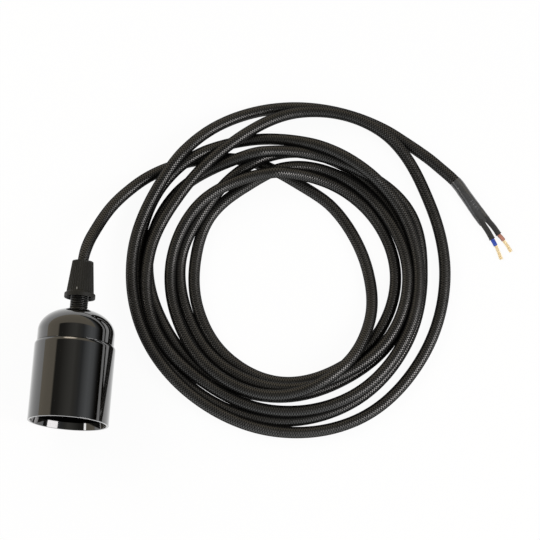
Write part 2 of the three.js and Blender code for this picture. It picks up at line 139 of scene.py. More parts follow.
# Routes, listed with the same points as in the model's source
ROUTE_TO_COIL = [
    (0, 34.95, 22.5), (0, 46.5, 22.5), (0.7, 52, 21.7), (2.3, 58.8, 19.3), (4.9, 66, 15.9),
    (8.2, 73.8, 12.4), (12.3, 81.2, 9), (16.9, 87.5, 6.2), (21.6, 92.8, 4.2), (27.3, 98.4, 3),
]
ROUTE_TO_SLEEVE = [
    (156.5, 142, 3), (165.3, 138.2, 3), (172.3, 134.3, 3), (183.2, 127.9, 3),
    (189, 124.2, 3), (194.9, 119.8, 3), (203.2, 113.3, 3),
]
ROUTE_OF_SLEEVE = [
    (203.8, 112.8, 3.4), (206.6, 109.8, 3.4), (209.3, 106.3, 3.4),
    (214.2, 100.3, 3.4), (223.1, 89.2, 3.4),
]
# The cord ends inside the sleeve. Here the sleeve's end and the cores are moved by CORE_SHIFT, to lie a
# little further back than in the model's source.
CORD_END = (205.2, 111.4, 3.2)
CORE_SHIFT = (-0.7, 1.3, 0)
BLUE_CORE_ROUTES = {
    "fibre_sleeve": [(221.9, 87.9, 3), (224.9, 84, 2.6), (227.6, 79.9, 2.1)],
    "insulation": [(227.8, 79.6, 2), (228.8, 78, 1.8), (229.8, 76.4, 1.5)],
    "strands": [(230, 76.1, 1.4), (231.8, 72.6, 1.1), (233.5, 68.8, 0.9)],
}
BROWN_CORE_ROUTES = {
    "fibre_sleeve": [(224.7, 90.1, 3), (228.2, 86.5, 2.6), (231.1, 82.9, 2.1)],
    "insulation": [(231.3, 82.6, 2), (232.8, 81.2, 1.8), (234.1, 79.8, 1.5)],
    "strands": [(234.3, 79.5, 1.4), (236.6, 76.7, 1.1), (238.7, 73.6, 0.9)],
}

# Coil: each turn's distance from the coil's centre at every hour of a clock face, and its layer at
# twelve, three, six and nine o'clock. A higher layer lies on top where two strands meet.
COIL_CENTRE = (113.8, 55.5)
HOUR = 30.0
COIL_START_RADII = [94, 70]
COIL_START_LAYER = -2
COIL_TURNS = [
    ([50, 43, 41, 45, 55, 66.5, 74.5, 73.5, 68.9, 65.4, 61, 55], [2.5, 5, 5, 5]),
    ([52.6, 53.9, 56.6, 60.3, 62.4, 64, 65.5, 61.5, 56, 52.5, 53, 52.5], [5, 2, 1, 1]),
    ([58, 60.4, 62.4, 67, 69.5, 69, 69.5, 67, 62.4, 60.5, 57.5, 61.5], [1.5, 3, 2, 2]),
    ([67, 67, 67, 69.5, 71, 71, 74, 76, 77, 79.5, 76.5, 68], [1, 0, 1.5, 2]),
    ([65.5, 67.8, 75.2, 74.8, 79, 84.5, 87.5, 87.2, 86, 84.5, 85, 79], [2, 1, 2, 0]),
    ([72, 69, 70.8, 73.2, 77.5, 82, 82.5, 81, 82.6, 78.2, 73.5, 77], [3, 4, 4, 4]),
    ([89.5, 94, 88, 88, 90.5, 94.5, 93.5, 91, 89.5, 87.5, 86, 91], [5, 3, 3, 3]),
    ([93.5], [4, 4]),
]
FULL_TURN = 360.0
COIL_POINT_TURN = 3.0

# Settling of the coil under its own weight: points nearer along the cord than MEETING_SPAN never meet,
# and the first HELD_LENGTH of it stays as placed
SETTLE_STEP = 2.0
MEETING_SPAN = 18.0
SETTLE_ROUNDS = 420
SETTLE_LAST_ROUNDS = 80
SETTLE_SINK = 0.12
SETTLE_PULL = 0.02
STIFF_SPAN = 3.0
CORD_REACH = 1.6
SIDE_BY_SIDE = 0.94
HELD_LENGTH = 60.0
HELD_FADE = 20.0
STIFFNESS = 0.6
END_STIFFNESS = 0.15
PUSH = 1.3
SMOOTHINGS = 2
LAST_SMOOTHINGS = 1
PUSHES = 2

# Sleeve at the supply end: between which shares of its length it turns flat, and by how much
SLEEVE_FLATTENS = (0.35, 0.85)
SLEEVE_WIDENS = 0.08
SLEEVE_THINS = 0.36
SLEEVE_SQUARES = 0.2
SLEEVE_SINKS = 1.1
SLEEVE_WRINKLE = 0.03
WRINKLE_PACE = 2.3
# How deep and how long the sleeve's rounded edges are, where it starts and where it ends
SLEEVE_START_EDGE = (0.12, 0.9)
SLEEVE_END_EDGE = (0.1, 0.8)

# Core ends: how deep and how long the fibre sleeve's flare and fray and the insulation's edge are
FIBRE_FLARE = (0.12, 1.0)
FIBRE_FRAY = (0.05, 0.5)
FRAY_AROUND = 9
FRAY_PACE = 5
INSULATION_EDGE = (0.12, 0.2)

# Bare wires: how many in each layer and how many wire radii out it lies, their lay, splay and uneven ends
WIRE_RADIUS = 0.2
WIRE_LAYERS = [(1, 0.0), (6, 2.0), (12, 3.7)]
STRAND_LAY = 9.0
LAYER_TURN = 0.4
WIRE_SPLAY = 0.16
SPLAY_START = 0.4
SPLAY_SPREAD = 0.8
SPLAY_PACE = 2.4
CUT_POINTS = 2
CUT_PACE = 1.7

# Meshing, in sides around a piece and steps along it
ROUND_SIDES = 192
SMALL_SIDES = 64
CORD_SIDES = 24
SLEEVE_SIDES = 48
CORE_SIDES = 32
WIRE_SIDES = 8
CORD_RING_STEP = 1.0
SLEEVE_RING_STEP = 0.25
CORE_RING_STEP = 0.15
WIRE_RING_STEP = 0.2
RING_BLUR = 1.5
BLUR_REACH = 3
CORNER_STEPS = 4
CORNER_SHARE = 0.45
LONG_SIDE = 1.5
FLAT_MARGIN = 0.1
CROWN_STEPS = 40
THREAD_ROWS = 16
NIPPLE_THREAD_ROWS = 14
NUT_ROWS = 60
SIDES_PER_RIB = 8
SHARP_ANGLE = math.radians(40)
THREAD_SHARP_ANGLE = math.radians(60)
ON_CONE = 0.02
TINY = 1e-6

# Braid of the cord and of its cores' sleeves: stitches around it, their length along it, and their depth
BRAID_COLUMNS = 7.0
BRAID_STITCH = 1.4
BRAID_DEPTH = 0.14
BRAID_FUZZ = 0.15
FIBRE_COLUMNS = 12.0
FIBRE_STITCH = 0.8
FIBRE_DEPTH = 0.15
# How much a stitch is bowed across its yarn, and along it
BOW_ACROSS = 0.55
BOW_ALONG = 0.45

# Painted glints, pale colour where highlights show: where the one on the rim lies, how far it and the one
# on the nut's pip reach from their middles, and from what share of that they fade
RIM_GLINT_PLACE = (-1.7, -2.1, 44.7)
RIM_GLINT_REACH = (4.6, 0.6, 1.4)
PIP_GLINT_REACH = (0.45, 0.95, 1.2)
GLINT_FADE = 0.6

# Depth of the glossy band inside the mouth, beyond which painted shade is mixed in, and how soft its end is
SHADE_START_DEPTH = 3.95
SHADE_EDGE = 0.12

# Looks: the roughness of every noise, and the darkest and lightest colour of each material
NOISE_ROUGHNESS = 0.55
BAKELITE_COLOURS = (0.0012, 0.001, 0.0008, 1), (0.0032, 0.0027, 0.0021, 1)
PLASTIC_COLOURS = (0.0035, 0.0034, 0.0025, 1), (0.011, 0.0105, 0.008, 1)
NIPPLE_COLOURS = (0.006, 0.006, 0.0055, 1), (0.011, 0.011, 0.01, 1)
# The braid's darkest colour is painted shade in the furrows between stitches
BRAID_FURROW_SHADE_COLOURS = (0.002, 0.002, 0.002, 1), (0.098, 0.096, 0.093, 1)
INSIDE_BRAID_COLOURS = (0.005, 0.005, 0.005, 1), (0.02, 0.02, 0.022, 1)
# The fibre sleeve's darkest colour is painted shade in the weave's furrows
FIBRE_FURROW_SHADE_COLOURS = (0.003, 0.003, 0.003, 1), (0.02, 0.02, 0.02, 1)
SHRINK_COLOURS = (0.031, 0.032, 0.033, 1), (0.046, 0.047, 0.049, 1)
BLUE_COLOURS = (0.02, 0.05, 0.33, 1), (0.035, 0.08, 0.42, 1)
BROWN_COLOURS = (0.33, 0.14, 0.095, 1), (0.44, 0.2, 0.14, 1)
COPPER_COLOURS = (0.9, 0.72, 0.42, 1), (0.98, 0.86, 0.6, 1)
BRASS_COLOURS = (0.5, 0.34, 0.13, 1), (0.68, 0.49, 0.22, 1)
STEEL_COLOURS = (0.38, 0.38, 0.37, 1), (0.55, 0.55, 0.54, 1)
STEATITE_COLOURS = (0.56, 0.52, 0.44, 1), (0.72, 0.68, 0.6, 1)
# Single colours
# Pale colour painted on the rim as a glint
RIM_GLINT_COLOUR = (0.42, 0.38, 0.33, 1)
# Pale colour painted on the nut's pip as a glint
PIP_GLINT_COLOUR = (0.17, 0.165, 0.15, 1)
# Flat black painted as shade in the holder's mouth and in the nipple's thread roots
SHADE_BLACK = (0.0015, 0.0014, 0.0013, 1)
BRAID_EDGE_TINT = (0.12, 0.12, 0.12, 1)
FLOOR_COLOUR = (0.86, 0.86, 0.86, 1)
WHITE = (1, 1, 1, 1)

# Materials of the pieces inside the holder
HIDDEN_LOOKS = {
    "steatite": ["contact_insert"],
    "brass": ["centre_contact", "side_contact", "centre_contact_rivet", "side_contact_rivet",
              "terminal_brown", "terminal_blue"],
    "steel": ["terminal_screw_brown", "terminal_screw_blue"],
    "brown": ["inner_core_brown"],
    "blue": ["inner_core_blue"],
    "copper": ["inner_wire_brown", "inner_wire_blue"],
    "braid_inside": ["cord_in_grip"],
}

# Stage
FLOOR_SIZE = 20000.0
FLOOR_DROP = 0.05
FLOOR_GLOW = 0.94
# The room across the holder: degrees from straight up towards +X, level of light, and its colour
WARM = (1.12, 1.0, 0.8)
CEILING = (1.02, 1.0, 0.92)
COOL = (0.96, 1.0, 1.03)
ROOM_ACROSS = [
    (-90, 0.6, WARM), (-52, 0.62, WARM), (-47, 0.07, CEILING), (-32, 0.09, CEILING),
    (-20, 0.16, CEILING), (-6, 0.24, CEILING), (4, 0.27, CEILING), (12, 0.2, CEILING),
    (26, 0.17, COOL), (38, 0.4, COOL), (50, 0.57, COOL), (61, 0.48, COOL),
    (70, 0.2, COOL), (77, 0.04, COOL), (84, 0.0, COOL), (90, 0.0, COOL),
]
# The room along the holder: how far a direction leans for each unit up
BACK_WALL_LEAN = 0.63
FRONT_WALL_LEAN = 0.9
RIGHT_SIDE_LEAN = 1.9
BACK_WALL_LEVEL = 0.62
FRONT_WALL_LEVEL = 0.95
WALL_EDGE = 0.04
LEAST_RISE = 0.02
# Lamps: place, width and length, power, colour, and whether polished surfaces show them
LAMPS = [
    ("key_left", (-900, 500, 800), (900, 900), 11.0, (1, 0.97, 0.94), False),
    ("right_window", (900, -240, 706), (400, 690), 6.8, (1, 0.97, 0.97), True),
    ("left_lamp", (-908, -220, 779), (120, 145), 0.4, (1, 1, 1), True),
]


# Curves and meshes

def hermite(knots, values, places):
    """A smooth curve through values given at rising knots, read at places."""
    tangents = np.gradient(values, knots, axis=0)
    start = np.clip(np.searchsorted(knots, places) - 1, 0, len(knots) - 2)
    span = (knots[start + 1] - knots[start])[:, None]
    u = (places - knots[start])[:, None] / span
    return (
        (1 + 2 * u) * (1 - u) ** 2 * values[start]
        + u * (1 - u) ** 2 * span * tangents[start]
        + u ** 2 * (3 - 2 * u) * values[start + 1]
        + u ** 2 * (u - 1) * span * tangents[start + 1]
    )


def distances_along(points):
    return np.concatenate([[0], np.cumsum(np.linalg.norm(np.diff(points, axis=0), axis=1))])


def along(points, step):
    """A smooth curve through points, with its own points one step apart."""
    points = np.asarray(points, float)
    knots = distances_along(points)
    return hermite(knots, points, np.linspace(0, knots[-1], int(round(knots[-1] / step)) + 1))


def blurred(values, span):
    """Each column smoothed along the line by a bell curve that is span points wide."""
    reach = int(math.ceil(BLUR_REACH * span))
    weights = np.exp(-0.5 * (np.arange(-reach, reach + 1) / span) ** 2)
    weights /= weights.sum()
    padded = np.pad(values, ((reach, reach), (0, 0)), mode="edge")
    return np.stack([np.convolve(column, weights, mode="valid") for column in padded.T], axis=1)


def smoothstep(value, low, high):
    share = np.clip((value - low) / (high - low), 0, 1)
    return share * share * (3 - 2 * share)


def grid_faces(rows, columns, closed_rows=False):
    """Quads of a grid whose columns close into a ring, and its rows too if asked."""
    faces = []
    for row in range(rows if closed_rows else rows - 1):
        below = row * columns
        above = (row + 1) % rows * columns
        for column in range(columns):
            after = (column + 1) % columns
            faces.append((below + column, below + after, above + after, above + column))
    return faces


def new_object(name, data):
    made = bpy.data.objects.new(name, data)
    bpy.context.scene.collection.objects.link(made)
    return made


def make_piece(name, points, faces, material, uv=None, sharp=SHARP_ANGLE):
    """A smooth mesh in metres from points in millimetres, with its material, and UVs by corner if given."""
    mesh = bpy.data.meshes.new(name)
    mesh.from_pydata((np.asarray(points) * MM).tolist(), [], faces)
    mesh.update()
    mesh.shade_smooth()
    mesh.set_sharp_from_angle(angle=sharp)
    if uv is not None:
        layer = mesh.uv_layers.new(name="length_and_turn")
        layer.data.foreach_set("uv", np.asarray(uv, dtype=np.float32).ravel())
    mesh.materials.append(material)
    return new_object(name, mesh)


def settle_in(piece, slot, *nodes):
    """Gives a piece its body, and puts it in place of the model's own nodes. slot is not used."""
    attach(piece, BODY)
    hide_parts(*nodes)
    return piece


def rounded(outline):
    """An outline of (radius, height, corner radius), closed on itself, with its corners rounded.

    A point close to each end of a long straight side keeps that side's shading flat.
    """
    points = []
    for i, (radius, height, corner) in enumerate(outline):
        here = np.array([radius, height], float)
        if corner == 0:
            points.append(here)
            continue
        sides = [np.array(outline[j][:2], float) - here for j in (i - 1, (i + 1) % len(outline))]
        before, after = (np.linalg.norm(side) for side in sides)
        back, onward = sides[0] / before, sides[1] / after
        reach = min(corner, CORNER_SHARE * min(before, after))
        start = here + back * reach
        end = here + onward * reach
        if before > LONG_SIDE:
            points.append(start + back * FLAT_MARGIN)
        for share in np.linspace(0, 1, CORNER_STEPS + 1):
            points.append((1 - share) ** 2 * start + 2 * share * (1 - share) * here + share ** 2 * end)
        if after > LONG_SIDE:
            points.append(end + onward * FLAT_MARGIN)
    return np.array(points)


def turned(outline, sides, shape=None):
    """Points and faces of a closed outline turned about the holder's axis. shape changes each radius."""
    turns = np.linspace(0, 2 * math.pi, sides, endpoint=False)
    radius, height, turn = np.broadcast_arrays(outline[:, :1], outline[:, 1:], turns)
    if shape is not None:
        radius = shape(radius, height, turn)
    points = np.stack([
        radius * np.sin(turn),
        height - holder_length / 2,
        radius * np.cos(turn) + SKIRT_RADIUS,
    ], axis=-1).reshape(-1, 3)
    faces = [tuple(reversed(face)) for face in grid_faces(len(outline), sides, closed_rows=True)]
    return points, faces


def sideways(line):
    """The directions across a line and up from it, at each of its points."""
    tangent = np.gradient(line, axis=0)
    tangent /= np.linalg.norm(tangent, axis=1)[:, None]
    across = np.cross(tangent, (0, 0, 1))
    across /= np.linalg.norm(across, axis=1)[:, None]
    return across, np.cross(across, tangent)


def swept(line, sides, section):
    """A closed tube along line. section(distance, angle) gives its reach across and its reach up."""
    across, up = sideways(line)
    angle = np.linspace(0, 2 * math.pi, sides, endpoint=False)
    wide, high = section(distances_along(line)[:, None], angle[None, :])
    points = line[:, None] + wide[..., None] * across[:, None] + high[..., None] * up[:, None]
    points = points.reshape(-1, 3)
    faces = [tuple(reversed(face)) for face in grid_faces(len(line), sides)]
    faces.append(tuple(range(sides)))
    faces.append(tuple(reversed(range(len(points) - sides, len(points)))))
    return points, faces


def round_section(reach, angle):
    """Reach across and reach up of a round section."""
    return reach * np.cos(angle), reach * np.sin(angle)


def tube_uv(distance, sides, faces):
    """UVs of a swept tube by corner: the share of a turn around it, and millimetres along it."""
    uv = []
    for face in faces:
        if len(face) != 4:
            uv.extend((0.5, 0.0) for _ in face)
            continue
        columns = [corner % sides for corner in face]
        wraps = max(columns) - min(columns) > 1
        for corner, column in zip(face, columns):
            turn = sides if wraps and column == 0 else column
            uv.append((turn / sides, distance[corner // sides]))
    return uv


def make_tube(name, line, sides, section, material):
    """A piece swept along a line, with UVs."""
    points, faces = swept(line, sides, section)
    return make_piece(name, points, faces, material, tube_uv(distances_along(line), sides, faces))


def rim(from_end, depth, length):
    """Depth of a rounded edge or a flare: full at the end, and none further than length from it."""
    return depth * smoothstep(length - from_end, 0, length)


def make_turned(name, outline, sides, material, slot, node, shape=None, sharp=SHARP_ANGLE):
    """A piece of the holder, turned about its axis, in place of the model's own."""
    points, faces = turned(outline, sides, shape)
    settle_in(make_piece(name, points, faces, material, sharp=sharp), slot, node)


# Cord

def coil_line():
    """The coil's strands before they settle: their points, and the layer of each point."""
    radii = list(COIL_START_RADII)
    layer_at = [-HOUR * len(COIL_START_RADII), -HOUR / 2]
    layers = [COIL_START_LAYER, COIL_START_LAYER]
    for turn, (turn_radii, turn_layers) in enumerate(COIL_TURNS):
        radii.extend(turn_radii)
        quarters = np.arange(len(turn_layers)) / 4
        layer_at.extend(FULL_TURN * (turn + quarters))
        layers.extend(turn_layers)
    hours = (np.arange(len(radii)) - len(COIL_START_RADII)) * HOUR
    clock = np.arange(hours[0] + COIL_POINT_TURN * 2, hours[-1] - COIL_POINT_TURN, COIL_POINT_TURN)
    radius = hermite(hours, np.array(radii, float)[:, None], clock)[:, 0]
    turn = np.radians(clock)
    line = np.stack([
        COIL_CENTRE[0] + radius * np.sin(turn),
        COIL_CENTRE[1] + radius * np.cos(turn),
        np.full(len(clock), cord_radius),
    ], axis=1)
    return line, np.interp(clock, layer_at, layers)


def laid_out_cord():
    """The whole cord before it settles: points one settling step apart, and their layers."""
    coil, layers = coil_line()
    points = np.concatenate([ROUTE_TO_COIL, coil, ROUTE_TO_SLEEVE, [CORD_END]])
    layers = np.concatenate([
        np.full(len(ROUTE_TO_COIL), COIL_START_LAYER),
        layers,
        np.full(len(ROUTE_TO_SLEEVE) + 1, layers[-1]),
    ])
    knots = distances_along(points)
    places = np.linspace(0, knots[-1], int(round(knots[-1] / SETTLE_STEP)) + 1)
    return hermite(knots, points, places), np.interp(places, knots, layers)


def meeting_pairs(line, layers):
    """Pairs of points that may touch, the one on the higher layer first."""
    first, second = np.triu_indices(len(line), int(MEETING_SPAN / SETTLE_STEP))
    apart = np.linalg.norm(line[first, :2] - line[second, :2], axis=1)
    near = apart < CORD_REACH * CORD_DIAMETER
    first, second = first[near], second[near]
    swap = layers[first] < layers[second]
    return np.where(swap, second, first), np.where(swap, first, second)


def push_apart(line, upper, lower, loose):
    """Moves points that lie in each other: up and down where they cross, else straight apart."""
    between = line[upper] - line[lower]
    flat = np.linalg.norm(between[:, :2], axis=1)
    apart = np.maximum(np.linalg.norm(between, axis=1), TINY)
    beside = flat > SIDE_BY_SIDE * CORD_DIAMETER
    rise = np.sqrt(np.maximum(CORD_DIAMETER ** 2 - flat ** 2, 0)) - between[:, 2]
    lift = np.where(beside, 0, np.maximum(rise, 0)) / 2
    spread = np.where(beside, np.maximum(CORD_DIAMETER - apart, 0), 0) / 2
    moves = between / apart[:, None] * spread[:, None]
    moves[:, 2] += lift
    touching = (lift > 0) | (spread > 0)
    total = np.zeros_like(line)
    count = np.zeros(len(line))
    for points, sign in ((upper, 1), (lower, -1)):
        np.add.at(total, points[touching], sign * moves[touching])
        np.add.at(count, points[touching], 1)
    line += total / np.maximum(count, 1)[:, None] * (PUSH * loose)[:, None]
    line[:, 2] = np.maximum(line[:, 2], cord_radius)


def settled_cord():
    """The cord's centre line once its strands have sunk onto each other and the table."""
    start, layers = laid_out_cord()
    line = start.copy()
    upper, lower = meeting_pairs(line, layers)
    distance = np.arange(len(line)) * SETTLE_STEP
    loose = smoothstep(distance, HELD_LENGTH - HELD_FADE, HELD_LENGTH)
    for turn in range(SETTLE_ROUNDS):
        ending = turn >= SETTLE_ROUNDS - SETTLE_LAST_ROUNDS
        stiffness = END_STIFFNESS if ending else STIFFNESS
        smoothings = LAST_SMOOTHINGS if ending else SMOOTHINGS
        if not ending:
            line[:, 2] -= SETTLE_SINK * loose
            line[:, :2] += (start - line)[:, :2] * SETTLE_PULL
        for _ in range(smoothings):
            offset = line - start * (1, 1, 0)
            line += (blurred(offset, STIFF_SPAN) - offset) * (stiffness * loose)[:, None]
        for _ in range(PUSHES):
            push_apart(line, upper, lower, loose)
    return line


def make_cord(material):
    """The braided cord, round where the nut holds it and a little flattened beyond."""
    settled = settled_cord()
    knots = distances_along(settled)
    rings = int(round(knots[-1] / CORD_RING_STEP)) + 1
    line = blurred(hermite(knots, settled, np.linspace(0, knots[-1], rings)), RING_BLUR)

    def section(distance, angle):
        wide = 1 + (CORD_FLATNESS - 1) * smoothstep(distance, NUT_HEIGHT / 2, NUT_HEIGHT)
        return cord_radius * wide * np.cos(angle), cord_radius * np.sin(angle)

    cord = make_tube("cord", line, CORD_SIDES, section, material)
    settle_in(cord, "braid", "cord_to_coil", "cord_coil", "cord_to_sleeve")


# Holder

def crown(side, bottom, height, innermost, count):
    """Points of a quarter ellipse, from the side of the dome's crown to its innermost radius."""
    reach = side - DOME_CROWN_CENTRE
    last = math.acos((innermost - DOME_CROWN_CENTRE) / reach)
    angles = np.linspace(0, last, count + 1)
    return [
        (DOME_CROWN_CENTRE + reach * math.cos(angle), bottom + height * math.sin(angle), 0)
        for angle in angles
    ]


def make_skirt(material):
    """The skirt with its mouth, the shroud inside it and the helical thread for the bulb."""
    rows = int(THREAD_TUBE_LENGTH / E27_PITCH * THREAD_ROWS)
    bore = [(E27_MAJOR_RADIUS, height, 0) for height in np.linspace(thread_top, SHROUD_DEPTH, rows)]
    outline = rounded([
        (SKIRT_RADIUS, 0, LIP_EDGE),
        (SKIRT_RADIUS, SKIRT_LENGTH - RIM_CHAMFER_DEPTH, 0.5),
        (SKIRT_RADIUS - RIM_CHAMFER_WIDTH, SKIRT_LENGTH, 0.15),
        (SKIRT_BORE, SKIRT_LENGTH, 0.1),
        (SKIRT_BORE, SHROUD_DEPTH + SHROUD_FLOOR, 0.3),
        (E27_MAJOR_RADIUS + THREAD_TUBE_WALL, SHROUD_DEPTH + SHROUD_FLOOR, 0.3),
        (E27_MAJOR_RADIUS + THREAD_TUBE_WALL, thread_top, 0.2),
        *bore,
        (SHROUD_RADIUS, SHROUD_DEPTH, 0.4),
        (SHROUD_RADIUS, SHROUD_LEDGE_DEPTH, 0.25),
        (MOUTH_CONE_RADIUS, MOUTH_CONE_DEPTH, 0.25),
        (LIP_INNER_RADIUS, 0, 0.15),
    ])

    def thread(radius, height, turn):
        from_end = np.minimum(thread_top - height, height - SHROUD_DEPTH)
        depth = (E27_MAJOR_RADIUS - E27_MINOR_RADIUS) * smoothstep(from_end, 0, E27_RUN_OUT)
        ridge = depth * (0.5 + 0.5 * np.cos(2 * math.pi * height / E27_PITCH - turn))
        return np.where(np.abs(radius - E27_MAJOR_RADIUS) < TINY, radius - ridge, radius)

    make_turned("holder_skirt", outline, ROUND_SIDES, material, "bakelite", "skirt", thread)


def make_dome(material):
    """The dome cap: its neck inside the skirt, its crown and the flat boss round the nipple."""
    crown_bottom = dome_top - DOME_CROWN_HEIGHT
    hole = NIPPLE_RADIUS + GAP
    inner_bottom = crown_bottom - DOME_CROWN_INNER_DROP
    inner = crown(neck_bore, inner_bottom, DOME_CROWN_INNER_HEIGHT, hole, CROWN_STEPS // 2)
    outline = rounded([
        (neck_radius, neck_bottom, 0.2),
        (neck_radius, dome_bottom, 0.1),
        (DOME_RADIUS, dome_bottom, 0.2),
        *crown(DOME_RADIUS, crown_bottom, DOME_CROWN_HEIGHT, DOME_BOSS_RADIUS, CROWN_STEPS),
        (DOME_BOSS_RADIUS, dome_top, 0.15),
        (hole, dome_top, 0.15),
        *reversed(inner),
        (neck_bore, neck_bottom, 0.2),
    ])
    make_turned("holder_dome", outline, ROUND_SIDES, material, "bakelite", "dome_cap")


def make_nut(material):
    """The cord grip's nut, with its ribs and the small pip near its flange."""
    flange_top = nut_bottom + NUT_FLANGE_THICKNESS
    throat = nut_top - NUT_THROAT_LENGTH

    def cone_at(height):
        share = (height - flange_top) / (nut_top - flange_top)
        return NUT_BOTTOM_RADIUS + (NUT_TOP_RADIUS - NUT_BOTTOM_RADIUS) * share

    side = [(cone_at(height), height, 0) for height in np.linspace(flange_top, nut_top, NUT_ROWS)[1:-1]]
    outline = rounded([
        (NUT_FLANGE_RADIUS, nut_bottom - NUT_RIM_DROP, 0.2),
        (NUT_FLANGE_RADIUS, flange_top - NUT_FLANGE_SLOPE, 0.6),
        (NUT_BOTTOM_RADIUS, flange_top, 0.25),
        *side,
        (NUT_TOP_RADIUS, nut_top, 0.6),
        (shaft_grip, nut_top, 0.4),
        (shaft_grip, throat, 0),
        (NIPPLE_RADIUS + GAP, throat - NUT_CONE_LENGTH, 0),
        (NIPPLE_RADIUS + GAP, nut_bottom + NUT_RECESS_DEPTH, 0.1),
        (NUT_RECESS_RADIUS, nut_bottom + NUT_RECESS_DEPTH, 0.2),
        (NUT_RECESS_RADIUS, nut_bottom + NUT_RIM_DROP, 0.2),
        (NUT_FLANGE_RADIUS - NUT_RIM_WIDTH, nut_bottom - NUT_RIM_DROP, 0.15),
    ])

    def ribs(radius, height, turn):
        on_cone = (np.abs(radius - cone_at(height)) < ON_CONE) & (height > flange_top)
        fade = smoothstep(height - flange_top, 0, NUT_RIBS_FADE_IN)
        fade = fade * smoothstep(nut_top - height, *NUT_RIBS_FADE_OUT)
        groove = NUT_RIB_DEPTH * (0.5 - 0.5 * np.cos(NUT_RIBS * turn)) ** NUT_RIB_SHARPNESS * fade
        beside = (turn - NUT_PIP_TURN + math.pi) % (2 * math.pi) - math.pi
        from_pip = np.hypot(beside * radius, height - nut_bottom - NUT_PIP_HEIGHT)
        pip = np.sqrt(np.maximum(NUT_PIP_RADIUS ** 2 - from_pip ** 2, 0)) * NUT_PIP_RISE
        return np.where(on_cone, radius - groove + pip, radius)

    make_turned("cord_grip_nut", outline, NUT_RIBS * SIDES_PER_RIB, material, "plastic", "grip_nut", ribs)


def make_nipple(material):
    """The nipple, with its helical thread up to where it goes into the nut."""
    end = nut_bottom + NIPPLE_THREAD_IN_NUT
    rows = int((end - nipple_bottom) / NIPPLE_PITCH * NIPPLE_THREAD_ROWS)
    thread_rows = [(NIPPLE_RADIUS, height, 0) for height in np.linspace(nipple_bottom, end, rows)]
    throat = nut_top - NUT_THROAT_LENGTH
    cone_low = throat - NUT_CONE_LENGTH
    tip = throat - (NIPPLE_TIP_WALL + GAP) * NUT_CONE_LENGTH / (NIPPLE_RADIUS + GAP - shaft_grip)
    outline = rounded([
        *thread_rows,
        (NIPPLE_RADIUS, cone_low, 0),
        (shaft_grip + NIPPLE_TIP_WALL, tip, 0.1),
        (shaft_grip, tip, 0.1),
        (shaft_grip, end + NIPPLE_BORE_TAPER, 0),
        (NIPPLE_BORE_RADIUS, end, 0),
        (NIPPLE_BORE_RADIUS, nipple_bottom, 0),
    ])

    def thread(radius, height, turn):
        phase = (height / NIPPLE_PITCH - turn / (2 * math.pi)) % 1
        groove = NIPPLE_THREAD_DEPTH * smoothstep(np.abs(2 * phase - 1), *NIPPLE_THREAD_FLANK)
        fade = smoothstep(end - height, 0, NIPPLE_THREAD_RUN_OUT)
        threaded = (np.abs(radius - NIPPLE_RADIUS) < TINY) & (height <= end)
        return np.where(threaded, radius - groove * fade, radius)

    make_turned(
        "cord_grip_nipple", outline, SMALL_SIDES, material, "plastic", "grip_nipple",
        shape=thread, sharp=THREAD_SHARP_ANGLE,
    )


# Supply end

def shifted(point):
    return tuple(np.add(point, CORE_SHIFT))


def make_shrink_sleeve(material):
    """The sleeve over the cord's end: snug on the cord, then shrunk flat over the two cores."""
    line = along([*ROUTE_OF_SLEEVE[:-1], shifted(ROUTE_OF_SLEEVE[-1])], SLEEVE_RING_STEP)
    total = distances_along(line)[-1]

    def section(distance, angle):
        flat = smoothstep(distance / total, *SLEEVE_FLATTENS)
        ripple = np.sin(distance * WRINKLE_PACE + 2 * np.cos(angle)) * np.sin(angle * 3 + distance)
        edge = rim(distance, *SLEEVE_START_EDGE) + rim(total - distance, *SLEEVE_END_EDGE)
        reach = SHRINK_SLEEVE_DIAMETER / 2 + SLEEVE_WRINKLE * ripple - edge
        squared = np.sign(np.cos(angle)) * np.abs(np.cos(angle)) ** (1 - SLEEVE_SQUARES * flat)
        wide = reach * (1 + SLEEVE_WIDENS * flat) * squared
        high = reach * (1 - SLEEVE_THINS * flat) * np.sin(angle)
        return wide, high - SLEEVE_SINKS * flat

    piece = make_tube("supply_sleeve", line, SLEEVE_SIDES, section, material)
    return settle_in(piece, "shrink", "shrink_sleeve")


def make_core(label, routes, materials):
    """One core beyond the sleeve: woven fibre sleeve, insulation, and its bare twisted strands."""
    routes = {part: [shifted(point) for point in route] for part, route in routes.items()}
    return [
        make_fibre_sleeve(label, routes, materials["fibre"]),
        make_insulation(label, routes, materials[label]),
        make_strands(label, routes, materials["copper"]),
    ]


def make_fibre_sleeve(label, routes, material):
    """Woven sleeve of one core, from inside the cord's sleeve to its flared and frayed end."""
    first, second = (np.array(point) for point in routes["fibre_sleeve"][:2])
    line = along([first + (first - second) / 2, *routes["fibre_sleeve"]], CORE_RING_STEP)
    total = distances_along(line)[-1]

    def woven(distance, angle):
        flare = rim(total - distance, *FIBRE_FLARE)
        fray = rim(total - distance, *FIBRE_FRAY) * np.sin(angle * FRAY_AROUND + distance * FRAY_PACE)
        return round_section(FIBRE_SLEEVE_DIAMETER / 2 * (1 + flare) + fray, angle)

    piece = make_tube(label + "_core_sleeve", line, CORE_SIDES, woven, material)
    return settle_in(piece, "fibre", label + "_fibre_sleeve")


def make_insulation(label, routes, material):
    """Insulation of one core, from inside its fibre sleeve to where it is stripped."""
    line = along([routes["fibre_sleeve"][-1], *routes["insulation"]], CORE_RING_STEP)
    total = distances_along(line)[-1]

    def jacket(distance, angle):
        return round_section(CORE_DIAMETER / 2 - rim(total - distance, *INSULATION_EDGE), angle)

    piece = make_tube(label + "_core_insulation", line, CORE_SIDES, jacket, material)
    return settle_in(piece, label, label + "_insulation")


